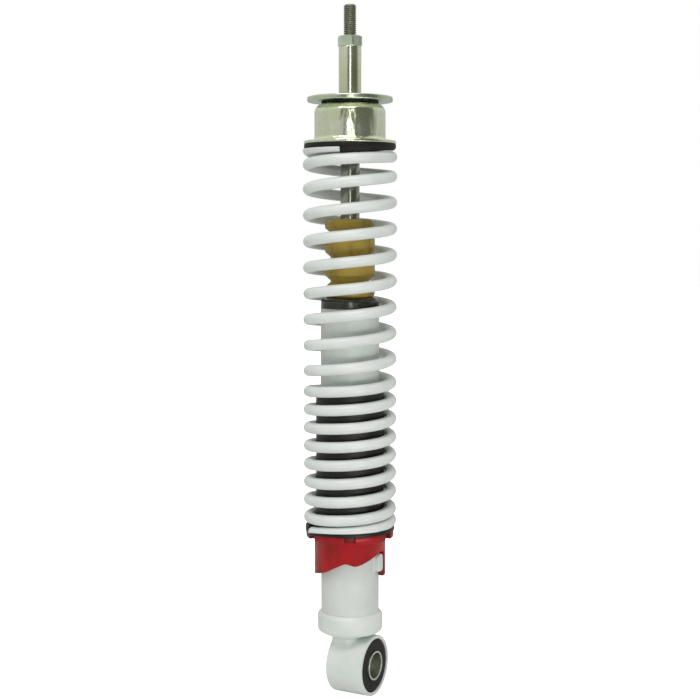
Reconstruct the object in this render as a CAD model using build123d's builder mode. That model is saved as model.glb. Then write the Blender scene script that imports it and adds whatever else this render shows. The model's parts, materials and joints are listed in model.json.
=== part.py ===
"""Motorcycle rear shock absorber: twin-tube damper, coil spring and cam preload adjuster.

Millimetres, +Z up along the rod. The origin is where the damper's axis meets the axis of
the lower eye, and +X runs along the eye's bore towards its longer side.
"""

import os
from math import cos, pi, radians, sin

from build123d import *

os.makedirs("parts", exist_ok=True)

# ---------------------------------------------------------------- driving dimensions

# clearances and fits
running_fit = 0.04          # radial, round pieces that slide or turn in each other
loose_fit = 0.15            # radial, pieces of one assembly that only locate each other
press_grip = 0.05           # radial squeeze of rubber pieces that hold themselves in place
cut_margin = 1.0            # how far a cutting shape reaches past what it cuts

# lower eye
eye_od = 38.8
eye_wall = 2.2
eye_length = 25.6
eye_offset = 5.35           # how far the eye's middle stands to +X of the damper's axis
eye_edge = 0.4
bush_recess = 0.4           # the rubber ends this far inside the eye
sleeve_bore = 16.3
sleeve_wall = 1.2
sleeve_length = 27.0
sleeve_edge = 0.3

# end cap and its neck
cap_wall = 2.3              # round the tube
cap_bevel = 2.4
cap_socket_depth = 8.9
cap_side = 12.6             # height of the straight side and the bevel
cap_taper = 4.5             # height of the tapered underside
cap_taper_width = 8.4       # radial width of the tapered underside
cap_dip = 1.6               # how far the underside reaches below the top of the eye
neck_width = 16.0
neck_depth = 25.2
neck_corner = 6.0
eye_gap = 2.0               # air between the cap's underside and the eye, beside the neck

# damper body
tube_od = 37.2
tube_wall = 1.6
tube_length = 203.4
reservoir_gap = 3.5         # between the two tubes
inner_tube_wall = 1.0
head_step = 0.2             # the head cap is this much smaller than the tube, radially
head_height = 7.0
head_edge = 2.0
head_spigot = 5.4
head_gap = 0.5              # radial, round the rod
guide_height = 18.0         # rod guide, without its spigot
guide_spigot = 8.0
bush_wall = 2.0
seal_width = 7.0            # radial, from the rod to the seal's outside
seal_height = 5.5
seal_washer = 1.5
wiper_height = 4.5
wiper_width = 5.5
seal_lip = 1.2              # depth of the seals' lips
o_ring_section = 2.4
o_ring_edge = 0.6
o_ring_groove = 2.0
o_ring_drop = 8.0           # groove's middle under the guide's top

# base valve
base_height = 8.0
base_spigot = 6.0
base_bolt = 5.0
base_plate = 0.8
base_plate_inset = 2.5      # from the inner tube's wall
base_head = 3.0
base_nut = 3.6
base_bolt_af = 8.0
base_recess_od = 11.0
base_slot = 5.0
base_slot_height = 2.4

# rod and piston
rod_d = 12.0
stud_d = 8.0
thread_pitch_d = 7.2        # of the stud's thread, drawn where the nut and the sleeve cover it
rod_exposed = 123.7         # from the top of the tube to the rod's shoulder
stud_length = 64.6
stud_chamfer = 1.0
piston_run = 6.5            # plain rod between the snap ring and the piston's shoulder
piston_height = 12.4
piston_band = 6.0
piston_band_depth = 1.2
piston_port_d = 2.4
piston_ports = 8
piston_gap = 0.2
valve_washer = 2.4
valve_washer_width = 4.5    # radial, round the rod's tail
check_plate = 1.2
check_plate_inset = 1.5     # from the inner tube's wall
shim_count = 3
shim_thickness = 0.5
shim_step = 2.0
clamp_washer = 1.6
piston_nut_wall = 2.5
piston_nut_height = 7.0
rod_tail = 3.0
rebound_rubber = 5.7
rebound_edge = 1.1
rebound_rubber_width = 4.0
rebound_gap = 0.3
rebound_collar = 4.0
rebound_collar_width = 3.5
circlip = 1.5
circlip_width = 2.0         # beyond the rod
circlip_groove = 0.8
circlip_mouth = 5.0

# upper end, from the rod's shoulder up
shoulder_washer = 2.0
shoulder_washer_edge = 0.4
shoulder_washer_width = 6.0
cup_sheet = 2.0
cup_room = 4.55             # between the cup's wall and the bump stop
cup_height = 25.1           # flange underside to the outside of the top
cup_shoulder = 6.0
cup_flange_inset = 0.75     # the spring stands out past the flange
cup_flare = 3.0
isolator_height = 3.1
isolator_inset = 0.8
isolator_overlap = 0.1      # the ring reaches this far inside the wire
cushion_od = 36.0
cushion_height = 1.0
disc_od = 53.5
disc_height = 3.0
disc_edge = 0.7
spacer_wall = 2.9
spacer_length = 31.4
spacer_seat = 0.5            # depth of the disc's counterbore that centres the spacer
nut_wall = 3.0
nut_height = 6.5
nut_chamfer = 0.7
nut_turn = 40.4             # how far the jam nut happens to be turned, degrees

# bump stop
bump_od = 31.4
bump_length = 49.1
bump_gap = 0.5              # radial, round the rod
bump_edge = 4.0
bump_grooves = (10.1, 24.9, 40.0)
groove_depth = 3.7
groove_width = 6.4

# spring
wire_d = 7.0
spring_clearance = 0.95     # radial, round the guide sleeve
tip_angle = -129.6          # where the lower end of the wire lies, degrees about Z
tip_thickness = 1.3         # of the ground wire at the lower tip
closed_turns = 0.94
tight_turns = 7.6
tight_gap = 4.59            # air between the close coils
wide_turns = 8.246
end_turns = 1.367
end_gap = 1.0
end_rise = 0.3              # how far the upper tip's centre lies over its ground face

# preload adjuster
seat_inset = 1.5            # the spring stands out past the seat ring
seat_height = 2.9
seat_stop_height = 0.45
seat_stop_angle = 20.0      # how far round the stop reaches, degrees
seat_stop_gap = 1.5         # degrees between the wire's end and the stop
guide_sleeve_gap = 1.25     # radial, round the tube
guide_sleeve_wall = 1.8
guide_sleeve_length = 89.3
collar_rise = 61.7          # from the tube's lower end to the collar's top
collar_flange = 4.4
collar_flange_inset = 0.1
collar_length = 29.4
collar_wall = 3.6
collar_gap = 0.6
notch_width = 7.0
notch_depth = 2.6
notch_count = 6
notch_turn = -61.6
lug_width = 6.4             # the lugs are round-ended, upright slots
lug_height = 11.4
lug_inset = 0.5             # the lugs end this far inside the collar's outside
lug_clearance = 1.5         # air over the lugs while the collar sits in its first detent
cam_count = 2

# One cam, read round from its first detent: degrees, then the edge's height under that
# detent. The line runs up into the first detent, over the crest, into the second detent
# and down the last ramp to the collar's lower rim.
cam_outline = (
    (-10.8, 1.6),
    (-7.0, 0.2),
    (0.0, 0.0),
    (6.5, 0.4),
    (18.5, 2.3),
    (31.5, 4.4),
    (44.5, 6.4),
    (54.0, 7.2),
    (61.0, 6.3),
    (68.5, 5.5),
    (76.0, 6.5),
    (84.0, 8.0),
    (96.0, 10.2),
    (113.5, 13.2),
    (138.5, 15.6),
    (150.0, 16.7),
)
cam_detent_drop = 12.6      # first detent under the flange's top face

# ---------------------------------------------------------------- derived diameters

sleeve_od = sleeve_bore + 2 * sleeve_wall
bush_id = sleeve_od + 2 * running_fit

tube_id = tube_od - 2 * tube_wall
cap_od = tube_od + 2 * cap_wall
head_od = tube_od - 2 * head_step
inner_tube_od = tube_id - 2 * reservoir_gap
inner_tube_id = inner_tube_od - 2 * inner_tube_wall
running_bore = rod_d + 2 * running_fit
seal_od = rod_d + 2 * seal_width
wiper_od = rod_d + 2 * wiper_width
base_plate_od = inner_tube_id - 2 * base_plate_inset
port_circle = (inner_tube_id + stud_d) / 4

stud_hole = stud_d + 2 * loose_fit
valve_washer_od = stud_d + 2 * valve_washer_width
check_plate_od = inner_tube_id - 2 * check_plate_inset
piston_nut_af = stud_d + 2 * piston_nut_wall
rebound_rubber_od = rod_d + 2 * rebound_rubber_width
rebound_collar_od = rod_d + 2 * rebound_collar_width
circlip_od = rod_d + 2 * circlip_width

guide_sleeve_id = tube_od + 2 * guide_sleeve_gap
guide_sleeve_od = guide_sleeve_id + 2 * guide_sleeve_wall
spring_id = guide_sleeve_od + 2 * spring_clearance
spring_od = spring_id + 2 * wire_d
seat_od = spring_od - 2 * seat_inset
collar_id = tube_od + 2 * collar_gap
collar_od = collar_id + 2 * collar_wall
collar_flange_od = seat_od - 2 * collar_flange_inset
lug_reach = collar_od / 2 - lug_inset

bump_bore = rod_d + 2 * bump_gap
cup_od = bump_od + 2 * (cup_room + cup_sheet)
cup_flange_od = spring_od - 2 * cup_flange_inset
isolator_od = spring_od - 2 * isolator_inset
isolator_bore = spring_id - 2 * isolator_overlap
shoulder_washer_od = rod_d + 2 * shoulder_washer_width
spacer_od = stud_hole + 2 * spacer_wall
nut_af = stud_d + 2 * nut_wall

# ---------------------------------------------------------------- derived places

eye_low = eye_offset - eye_length / 2
eye_high = eye_offset + eye_length / 2
sleeve_low = eye_offset - sleeve_length / 2

cap_underside = eye_od / 2 - cap_dip
neck_low = eye_od / 4        # inside the eye, which cuts the neck back to its own surface
cap_taper_top = cap_underside + cap_taper
cap_top = cap_taper_top + cap_side
tube_bottom = cap_top - cap_socket_depth
tube_top = tube_bottom + tube_length

head_top = tube_top + head_height
head_low = tube_top - head_spigot
guide_shoulder = head_low - guide_height
guide_low = guide_shoulder - guide_spigot
seal_low = head_low - seal_height - seal_washer
o_ring_low = head_low - o_ring_drop - o_ring_section / 2
base_shoulder = tube_bottom + base_height
base_top = base_shoulder + base_spigot

rod_shoulder = tube_top + rod_exposed
stud_top = rod_shoulder + stud_length
cup_top = rod_shoulder + shoulder_washer + cup_sheet
cup_low = cup_top - cup_height
isolator_low = cup_low - isolator_height
cushion_top = cup_top + cushion_height
disc_top = cushion_top + disc_height
spacer_low = disc_top - spacer_seat
spacer_top = spacer_low + spacer_length
nut_top = spacer_top + nut_height

rebound_top = guide_low - rebound_gap
rebound_low = rebound_top - rebound_rubber
rebound_collar_low = rebound_low - rebound_collar
circlip_low = rebound_collar_low - circlip
piston_shoulder = circlip_low - piston_run
valve_washer_low = piston_shoulder - valve_washer
piston_top = valve_washer_low - check_plate
piston_low = piston_top - piston_height
band_low = piston_low + (piston_height - piston_band) / 2
shims_low = piston_low - shim_count * shim_thickness
clamp_low = shims_low - clamp_washer
piston_nut_low = clamp_low - piston_nut_height
rod_low = piston_nut_low - rod_tail

collar_top = tube_bottom + collar_rise
collar_low = collar_top - collar_length
detent_height = collar_top - cam_detent_drop
lug_top = detent_height - lug_clearance
lug_low = lug_top - lug_height
seat_face = collar_top + seat_height

wire_r = wire_d / 2
coil_r = spring_id / 2 + wire_r
closed_pitch = wire_d
tight_pitch = wire_d + tight_gap
end_pitch = wire_d + end_gap
tip_height = seat_face + tip_thickness - wire_r
spring_rise = isolator_low + end_rise - tip_height
wide_rise = (
    spring_rise
    - closed_turns * closed_pitch
    - tight_turns * tight_pitch
    - end_turns * end_pitch
)
wide_pitch = wide_rise / wide_turns


def save(piece, name):
    """Label a finished piece and write it under its own name."""
    piece.part.label = name
    export_step(piece.part, f"parts/{name}.step")


def ring(low, high, outer_d, inner_d=0.0):
    """Add a plain round piece with a straight bore to the part being built."""
    with BuildSketch(Plane.XY.offset(low)) as section:
        Circle(outer_d / 2)
        if inner_d:
            Circle(inner_d / 2, mode=Mode.SUBTRACT)
    extrude(section.sketch, amount=high - low)


def bore(low, high, bore_d):
    """Cut a straight round hole along the damper's axis."""
    with BuildSketch(Plane.XY.offset(low)) as section:
        Circle(bore_d / 2)
    extrude(section.sketch, amount=high - low, mode=Mode.SUBTRACT)


def spun(points, mode=Mode.ADD):
    """Turn a half outline, given as radius and height, on a lathe."""
    with BuildSketch(Plane.XZ) as section:
        with BuildLine():
            Polyline(*points, close=True)
        make_face()
    revolve(section.sketch, axis=Axis.Z, mode=mode)


def across(low, high, outer_d, inner_d=0.0, mode=Mode.ADD):
    """Add or cut a round piece along the eye's axis, from x = low to x = high."""
    with BuildSketch(Plane.YZ.offset(low)) as section:
        Circle(outer_d / 2)
        if inner_d:
            Circle(inner_d / 2, mode=Mode.SUBTRACT)
    extrude(section.sketch, amount=high - low, mode=mode)


def outer_rims(piece):
    """The circular edges of largest radius."""
    return piece.edges().filter_by(GeomType.CIRCLE).group_by(SortBy.RADIUS)[-1]


def radial_plane(angle, radius=0.0, height=0.0):
    """The upright plane through the damper's axis at an angle: x outwards, y up."""
    out = Vector(cos(radians(angle)), sin(radians(angle)), 0)
    along = Vector(sin(radians(angle)), -cos(radians(angle)), 0)
    return Plane(origin=out * radius + Vector(0, 0, height), x_dir=out, z_dir=along)


# ---------------------------------------------------------------- lower eye

# Short length of steel tube, welded to the neck of the end cap.
with BuildPart() as eye_ring:
    across(eye_low, eye_high, eye_od, eye_od - 2 * eye_wall)
    chamfer(outer_rims(eye_ring), length=eye_edge)
save(eye_ring, "eye_ring")

# Rubber bush bonded inside the eye.
with BuildPart() as eye_bush:
    across(eye_low + bush_recess, eye_high - bush_recess, eye_od - 2 * eye_wall, bush_id)
save(eye_bush, "eye_bush_rubber")

# Steel sleeve that the pivot bolt passes through.
with BuildPart() as bush_sleeve:
    across(sleeve_low, sleeve_low + sleeve_length, sleeve_od, sleeve_bore)
    chamfer(outer_rims(bush_sleeve), length=sleeve_edge)
save(bush_sleeve, "eye_bush_sleeve")

# ---------------------------------------------------------------- end cap and tube

# Forged cap that closes the tube: socket, bevel, tapered underside and neck to the eye.
with BuildPart() as end_cap:
    spun([
        (0, cap_underside),
        (cap_od / 2 - cap_taper_width, cap_underside),
        (cap_od / 2, cap_taper_top),
        (cap_od / 2, cap_top - cap_bevel),
        (cap_od / 2 - cap_bevel, cap_top),
        (0, cap_top),
    ])
    bore(tube_bottom, cap_top, tube_od + 2 * loose_fit)
    across(-cap_od, cap_od, eye_od + 2 * eye_gap, mode=Mode.SUBTRACT)
    with BuildSketch(Plane.XY.offset(neck_low)):
        RectangleRounded(neck_width, neck_depth, neck_corner)
    extrude(amount=cap_taper_top - neck_low)
    across(-cap_od, cap_od, eye_od, mode=Mode.SUBTRACT)
save(end_cap, "end_cap")

# Outer tube of the damper, painted with the end cap.
with BuildPart() as outer_tube:
    ring(tube_bottom, tube_top, tube_od, tube_id)
save(outer_tube, "outer_tube")

# Two lugs on opposite sides of the tube, which hold the preload collar up.
with BuildPart() as cam_lugs:
    for side in (1, -1):
        middle = (0, 0, (lug_low + lug_top) / 2)
        with BuildSketch(Plane(origin=middle, x_dir=(0, side, 0), z_dir=(side, 0, 0))):
            SlotOverall(lug_height, lug_width, rotation=90)
        extrude(amount=lug_reach)
    bore(lug_low, lug_top, tube_od)
save(cam_lugs, "cam_lugs")

# ---------------------------------------------------------------- inside the damper

# Foot of the inner tube: it stands on the end cap and carries the compression valve.
with BuildPart() as base_valve:
    ring(tube_bottom, base_shoulder, inner_tube_od)
    ring(base_shoulder, base_top, inner_tube_id - 2 * loose_fit)
    bore(tube_bottom, base_top, base_bolt + 2 * loose_fit)
    bore(tube_bottom, tube_bottom + base_nut + base_head, base_recess_od)
    with PolarLocations(port_circle, piston_ports):
        Hole(piston_port_d / 2)
    with BuildSketch(Plane.XY.offset(tube_bottom)):
        Rectangle(inner_tube_od + 2 * cut_margin, base_slot)
        Rectangle(base_slot, inner_tube_od + 2 * cut_margin)
    extrude(amount=base_slot_height, mode=Mode.SUBTRACT)
save(base_valve, "base_valve_body")

# Thin plate that covers the base valve's ports.
with BuildPart() as base_valve_plate:
    ring(base_top, base_top + base_plate, base_plate_od, base_bolt + 2 * loose_fit)
save(base_valve_plate, "base_valve_plate")

# Bolt through the base valve, with its head above the plate.
with BuildPart() as base_valve_bolt:
    bolt_low = tube_bottom + base_head
    ring(bolt_low, base_top + base_plate, base_bolt)
    with BuildSketch(Plane.XY.offset(base_top + base_plate)):
        RegularPolygon(base_bolt_af / 2, 6, major_radius=False)
    extrude(amount=base_head)
save(base_valve_bolt, "base_valve_bolt")

# Nut under the base valve, in its recess.
with BuildPart() as base_valve_nut:
    with BuildSketch(Plane.XY.offset(tube_bottom + base_head)):
        RegularPolygon(base_bolt_af / 2, 6, major_radius=False)
        Circle(base_bolt / 2 + loose_fit, mode=Mode.SUBTRACT)
    extrude(amount=base_nut)
save(base_valve_nut, "base_valve_nut")

# Inner tube, in which the piston slides.
with BuildPart() as inner_tube:
    ring(base_shoulder, guide_shoulder, inner_tube_od, inner_tube_id)
save(inner_tube, "inner_tube")

# Rod guide: centres the inner tube and the rod, and holds the seal in its upper recess.
with BuildPart() as rod_guide:
    ring(guide_shoulder, head_low, tube_id - 2 * loose_fit)
    ring(guide_low, guide_shoulder, inner_tube_id - 2 * loose_fit)
    bore(guide_low, head_low, rod_d + 2 * bush_wall + 2 * loose_fit)
    bore(seal_low, head_low, seal_od + 2 * loose_fit)
    with BuildSketch(Plane.XY.offset(o_ring_low)):
        Circle(tube_id / 2)
        Circle(tube_id / 2 - o_ring_groove, mode=Mode.SUBTRACT)
    extrude(amount=o_ring_section, mode=Mode.SUBTRACT)
save(rod_guide, "rod_guide")

# Plain bronze bush in the rod guide.
with BuildPart() as guide_bush:
    ring(guide_low, seal_low, rod_d + 2 * bush_wall, running_bore)
save(guide_bush, "guide_bush")

# Ring in the rod guide's groove, which seals the guide to the outer tube.
with BuildPart() as guide_o_ring:
    ring(o_ring_low, o_ring_low + o_ring_section, tube_id - 2 * running_fit, tube_id - 2 * o_ring_groove)
    fillet(guide_o_ring.edges().filter_by(GeomType.CIRCLE), radius=o_ring_edge)
save(guide_o_ring, "guide_o_ring")

# Lipped oil seal round the rod.
with BuildPart() as oil_seal:
    spun([
        (rod_d / 2 + running_fit, seal_low + seal_height / 2),
        (rod_d / 2 + running_fit + seal_lip, seal_low),
        (seal_od / 2, seal_low),
        (seal_od / 2, seal_low + seal_height),
        (rod_d / 2 + running_fit + seal_lip, seal_low + seal_height),
    ])
save(oil_seal, "oil_seal")

# Steel washer over the oil seal.
with BuildPart() as seal_cover:
    ring(seal_low + seal_height, head_low, seal_od, rod_d + 2 * seal_lip)
save(seal_cover, "seal_washer")

# Dust wiper, in the head cap's lower recess.
with BuildPart() as dust_wiper:
    spun([
        (rod_d / 2 + running_fit + seal_lip, head_low),
        (wiper_od / 2, head_low),
        (wiper_od / 2, head_low + wiper_height),
        (rod_d / 2 + running_fit, head_low + wiper_height),
    ])
save(dust_wiper, "dust_wiper")

# Head cap with a rolled upper edge, pressed into the top of the tube.
with BuildPart() as head_cap:
    ring(tube_top, head_top, head_od)
    fillet(head_cap.faces().sort_by(Axis.Z)[-1].edges(), radius=head_edge)
    ring(head_low, tube_top, tube_id - 2 * loose_fit)
    bore(head_low, head_top, rod_d + 2 * head_gap)
    bore(head_low, head_low + wiper_height, wiper_od + 2 * loose_fit)
save(head_cap, "head_cap")

# ---------------------------------------------------------------- rod and piston

# Hard-chromed rod: tail for the piston, ground shaft, shoulder and threaded stud.
with BuildPart() as piston_rod:
    ring(piston_shoulder, rod_shoulder, rod_d)
    ring(rod_low, piston_shoulder, stud_d)
    ring(rod_shoulder, nut_top, thread_pitch_d)
    ring(nut_top, stud_top, stud_d)
    ends = piston_rod.faces().filter_by(Axis.Z).sort_by(Axis.Z)
    chamfer(ends[-1].edges() + ends[0].edges(), length=stud_chamfer)
    with BuildSketch(Plane.XY.offset(circlip_low)):
        Circle(rod_d / 2)
        Circle(rod_d / 2 - circlip_groove, mode=Mode.SUBTRACT)
    extrude(amount=circlip, mode=Mode.SUBTRACT)
save(piston_rod, "piston_rod")

# Snap ring in the rod's groove, under the rebound stop.
with BuildPart() as stop_circlip:
    ring(circlip_low, rebound_collar_low, circlip_od, rod_d - 2 * circlip_groove)
    with BuildSketch(Plane.XY.offset(circlip_low)):
        with Locations((circlip_od / 2, 0)):
            Rectangle(circlip_od, circlip_mouth)
    extrude(amount=circlip, mode=Mode.SUBTRACT)
save(stop_circlip, "stop_circlip")

# Steel collar and rubber ring that meet the rod guide at full length.
with BuildPart() as rebound_seat:
    ring(rebound_collar_low, rebound_low, rebound_collar_od, rod_d + 2 * loose_fit)
save(rebound_seat, "rebound_collar")

with BuildPart() as rebound_stop:
    ring(rebound_low, rebound_top, rebound_rubber_od, rod_d + 2 * loose_fit)
    fillet(outer_rims(rebound_stop), radius=rebound_edge)
save(rebound_stop, "rebound_rubber")

# Washer between the rod's shoulder and the check plate.
with BuildPart() as valve_guide:
    ring(valve_washer_low, piston_shoulder, valve_washer_od, stud_hole)
save(valve_guide, "valve_washer")

# Check plate on the piston's upper face.
with BuildPart() as check_valve:
    ring(piston_top, valve_washer_low, check_plate_od, stud_hole)
save(check_valve, "check_plate")

# Piston with its ring of ports and the groove for its band.
with BuildPart() as piston:
    ring(piston_low, piston_top, inner_tube_id - 2 * piston_gap, stud_hole)
    with PolarLocations(port_circle, piston_ports):
        Hole(piston_port_d / 2)
    with BuildSketch(Plane.XY.offset(band_low)):
        Circle(inner_tube_id / 2)
        Circle(inner_tube_id / 2 - piston_band_depth, mode=Mode.SUBTRACT)
    extrude(amount=piston_band, mode=Mode.SUBTRACT)
save(piston, "piston")

# Low-friction band round the piston.
with BuildPart() as piston_ring:
    ring(band_low, band_low + piston_band, inner_tube_id - 2 * running_fit,
         inner_tube_id - 2 * piston_band_depth)
save(piston_ring, "piston_band")

# Stack of thin discs under the piston, each smaller than the one over it.
with BuildPart() as shim_stack:
    for shim in range(shim_count):
        shim_top = piston_low - shim * shim_thickness
        ring(shim_top - shim_thickness, shim_top, check_plate_od - shim * shim_step,
             stud_hole)
save(shim_stack, "shim_stack")

# Clamp washer and nut on the rod's tail.
with BuildPart() as shim_clamp:
    ring(clamp_low, shims_low, valve_washer_od, stud_hole)
save(shim_clamp, "shim_clamp_washer")

with BuildPart() as piston_nut:
    with BuildSketch(Plane.XY.offset(piston_nut_low)):
        RegularPolygon(piston_nut_af / 2, 6, major_radius=False)
        Circle(stud_d / 2 + running_fit, mode=Mode.SUBTRACT)
    extrude(amount=piston_nut_height)
save(piston_nut, "piston_nut")

# ---------------------------------------------------------------- upper end

# Washer on the rod's shoulder, under the cup, which meets the bump stop.
with BuildPart() as cup_washer:
    ring(rod_shoulder, rod_shoulder + shoulder_washer, shoulder_washer_od, stud_hole)
    chamfer(outer_rims(cup_washer), length=shoulder_washer_edge)
save(cup_washer, "shoulder_washer")

# Deep-drawn upper spring seat: a cup with a rolled shoulder and a flat flange.
with BuildPart() as upper_cup:
    with BuildSketch(Plane.XZ):
        with BuildLine():
            Polyline(
                (0, cup_top),
                (cup_od / 2, cup_top),
                (cup_od / 2, cup_low + cup_sheet),
                (cup_flange_od / 2, cup_low + cup_sheet),
                (cup_flange_od / 2, cup_low),
                (cup_od / 2 - cup_sheet, cup_low),
                (cup_od / 2 - cup_sheet, cup_top - cup_sheet),
                (0, cup_top - cup_sheet),
                close=True,
            )
        make_face()
    revolve(axis=Axis.Z)
    rims = upper_cup.edges().filter_by(GeomType.CIRCLE)
    top_rim = rims.filter_by(lambda rim: abs(rim.radius - cup_od / 2) < 0.01).sort_by(Axis.Z)
    inner_rim = rims.filter_by(lambda rim: abs(rim.radius - cup_od / 2 + cup_sheet) < 0.01).sort_by(Axis.Z)
    fillet(top_rim[-1], radius=cup_shoulder)
    fillet(inner_rim[-1], radius=cup_shoulder - cup_sheet)
    fillet(top_rim[0], radius=cup_flare)
    bore(cup_top - cup_sheet, cup_top, stud_hole)
save(upper_cup, "upper_cup")

# Plastic ring between the cup's flange and the spring.
with BuildPart() as isolator:
    ring(isolator_low, cup_low, isolator_od, isolator_bore)
save(isolator, "upper_isolator")

# Thin rubber washer on the cup.
with BuildPart() as cushion:
    ring(cup_top, cushion_top, cushion_od, stud_hole)
save(cushion, "cushion_washer")

# Large steel disc that meets the frame's bracket.
with BuildPart() as top_disc:
    ring(cushion_top, disc_top, disc_od, stud_hole)
    fillet(outer_rims(top_disc), radius=disc_edge)
    bore(spacer_low, disc_top, spacer_od + 2 * loose_fit)
save(top_disc, "top_disc")

# Spacer sleeve on the stud, for the frame's rubber bushes.
with BuildPart() as spacer:
    ring(spacer_low, spacer_top, spacer_od, stud_hole)
save(spacer, "spacer_sleeve")

# Hexagon nut with both faces chamfered.
with BuildPart() as jam_nut:
    with BuildSketch(Plane.XY.offset(spacer_top)):
        RegularPolygon(nut_af / 2, 6, major_radius=False, rotation=nut_turn)
        Circle(thread_pitch_d / 2 + running_fit, mode=Mode.SUBTRACT)
    extrude(amount=nut_height)
    corner = nut_af / 2 / cos(pi / 6)
    with BuildSketch(Plane.XZ):
        with BuildLine():
            Polyline(
                (0, spacer_top),
                (nut_af / 2, spacer_top),
                (corner, spacer_top + nut_chamfer),
                (corner, nut_top - nut_chamfer),
                (nut_af / 2, nut_top),
                (0, nut_top),
                close=True,
            )
        make_face()
    revolve(axis=Axis.Z, mode=Mode.INTERSECT)
save(jam_nut, "jam_nut")

# ---------------------------------------------------------------- bump stop

# Microcellular bump stop with rounded ends and V grooves.
with BuildPart() as bump_stop:
    ring(head_top, head_top + bump_length, bump_od)
    fillet(bump_stop.faces().sort_by(Axis.Z)[-1].edges(), radius=bump_edge)
    for groove in bump_grooves:
        middle = head_top + groove
        mouth = groove_width / 2 * (1 + cut_margin / groove_depth)
        spun(
            [
                (bump_od / 2 + cut_margin, middle - mouth),
                (bump_od / 2 - groove_depth, middle),
                (bump_od / 2 + cut_margin, middle + mouth),
            ],
            mode=Mode.SUBTRACT,
        )
    bore(head_top, head_top + bump_length, bump_bore)
save(bump_stop, "bump_stop")

# ---------------------------------------------------------------- spring

# Wire wound in four stretches. Each is swept with its section held in the radial plane,
# so one stretch ends on exactly the circle that the next begins with.
stretches = (
    (closed_turns, closed_pitch),
    (tight_turns, tight_pitch),
    (wide_turns, wide_pitch),
    (end_turns, end_pitch),
)

with BuildPart() as coil_spring:
    turned = tip_angle
    height = tip_height
    for turns, pitch in stretches:
        path = Helix(
            pitch=pitch,
            height=turns * pitch,
            radius=coil_r,
            center=(0, 0, height),
            mode=Mode.PRIVATE,
        )
        with BuildSketch(radial_plane(turned, coil_r, height)):
            Circle(wire_r)
        sweep(path=path.rotate(Axis.Z, turned), is_frenet=True)
        turned += turns * 360
        height += turns * pitch
    split(bisect_by=Plane.XY.offset(seat_face), keep=Keep.TOP)
    split(bisect_by=Plane.XY.offset(isolator_low), keep=Keep.BOTTOM)
save(coil_spring, "coil_spring")

# ---------------------------------------------------------------- preload adjuster

# Tubular guide inside the spring's close coils.
with BuildPart() as guide_sleeve:
    ring(collar_top, collar_top + guide_sleeve_length, guide_sleeve_od, guide_sleeve_id)
save(guide_sleeve, "spring_guide_sleeve")

# Rubber-like seat ring under the spring, with a stop just past the end of the wire.
with BuildPart() as seat_ring:
    seat_bore = guide_sleeve_od - 2 * press_grip
    ring(collar_top, seat_face, seat_od, seat_bore)
    with BuildSketch(radial_plane(tip_angle - seat_stop_gap - seat_stop_angle)):
        with BuildLine():
            Polyline(
                (seat_bore / 2, seat_face),
                (seat_od / 2, seat_face),
                (seat_od / 2, seat_face + seat_stop_height),
                (seat_bore / 2, seat_face + seat_stop_height),
                close=True,
            )
        make_face()
    revolve(axis=Axis.Z, revolution_arc=seat_stop_angle)
save(seat_ring, "lower_seat_ring")

# Cam collar: a flange with spanner notches over a skirt whose rim carries two cams.
with BuildPart() as collar:
    ring(collar_low, collar_top, collar_od, collar_id)
    ring(collar_top - collar_flange, collar_top, collar_flange_od, collar_id)
    with BuildSketch(Plane.XY.offset(collar_top - collar_flange)):
        for notch in range(notch_count):
            angle = notch_turn + notch * 360 / notch_count
            reach = collar_flange_od / 2
            with Locations(Location((reach * cos(radians(angle)), reach * sin(radians(angle))), angle)):
                Rectangle(2 * notch_depth, notch_width)
    extrude(amount=collar_flange, mode=Mode.SUBTRACT)
    for cam in range(cam_count):
        for turned, drop in cam_outline:
            with BuildSketch(radial_plane(cam * 360 / cam_count - turned)):
                with BuildLine():
                    Polyline(
                        (collar_id / 2 - cut_margin, collar_low - cut_margin),
                        (collar_od / 2 + cut_margin, collar_low - cut_margin),
                        (collar_od / 2 + cut_margin, detent_height - drop),
                        (collar_id / 2 - cut_margin, detent_height - drop),
                        close=True,
                    )
                make_face()
        loft(ruled=True, mode=Mode.SUBTRACT)
save(collar, "preload_collar")
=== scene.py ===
import json
from math import atan2, cos, pi, radians, sin, sqrt, tan

import bpy
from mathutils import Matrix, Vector


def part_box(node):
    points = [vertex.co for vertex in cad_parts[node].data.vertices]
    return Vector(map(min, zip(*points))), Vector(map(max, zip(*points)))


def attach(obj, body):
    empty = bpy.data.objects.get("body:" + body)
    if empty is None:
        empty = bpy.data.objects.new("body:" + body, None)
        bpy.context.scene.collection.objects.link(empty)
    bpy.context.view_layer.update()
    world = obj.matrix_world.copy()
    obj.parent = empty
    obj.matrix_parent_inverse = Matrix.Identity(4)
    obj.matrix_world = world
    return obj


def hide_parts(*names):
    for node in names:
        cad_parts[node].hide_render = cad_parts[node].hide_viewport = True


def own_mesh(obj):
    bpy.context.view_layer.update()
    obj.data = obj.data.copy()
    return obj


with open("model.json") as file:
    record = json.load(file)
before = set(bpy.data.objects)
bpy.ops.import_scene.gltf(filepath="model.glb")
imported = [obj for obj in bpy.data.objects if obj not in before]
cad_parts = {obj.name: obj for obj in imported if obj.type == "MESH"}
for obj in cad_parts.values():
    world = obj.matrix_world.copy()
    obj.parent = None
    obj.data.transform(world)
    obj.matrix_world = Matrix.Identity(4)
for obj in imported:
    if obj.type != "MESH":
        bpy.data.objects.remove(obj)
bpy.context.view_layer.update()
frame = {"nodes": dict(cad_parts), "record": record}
mm = 0.001

# ---------------------------------------------------------------- eye ring
# A short length of steel tube, saw-cut and deburred, that lies across the foot of the damper.
# It is welded to the end cap's neck and painted with it in one grey-white enamel.


def heights(name):
    """Lowest and highest point of a CAD node along the damper, in millimetres."""
    low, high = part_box(name)
    return low.z / mm, high.z / mm


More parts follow.
